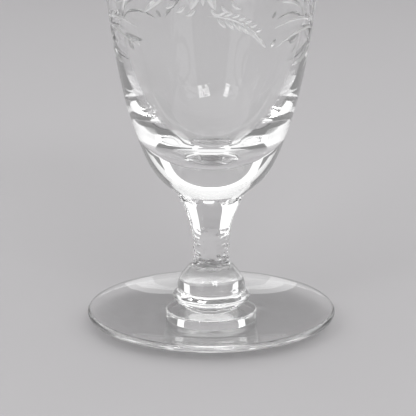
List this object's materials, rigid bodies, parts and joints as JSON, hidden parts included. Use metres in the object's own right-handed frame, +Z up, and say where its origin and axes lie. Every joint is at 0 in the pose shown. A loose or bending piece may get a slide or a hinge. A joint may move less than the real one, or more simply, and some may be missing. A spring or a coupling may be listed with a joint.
{
  "type": "iced tea glass",
  "caption": "Footed iced tea glass in clear cut crystal: tall flared bowl on a thick solid base, short eight-sided stem, domed and ringed knop and a thin round foot",
  "frame": {"origin": "where the axis of the glass meets the table, at the centre of the flat pad under the foot", "axes": "+Z runs up the axis from the foot to the rim; X and Y lie in the table, and the stem's front flat faces -Y turned by a few degrees"},
  "size_m": [0.08, 0.08, 0.165],
  "materials": {
    "clear_crystal": "clear colourless crystal, fire polished, with wheel-cut leaf sprays on the bowl"
  },
  "bodies": {
    "root": {"bowl": "clear_crystal", "stem": "clear_crystal", "dome": "clear_crystal", "middle_collar": "clear_crystal", "lower_collar": "clear_crystal", "foot": "clear_crystal"}
  },
  "joints": []
}
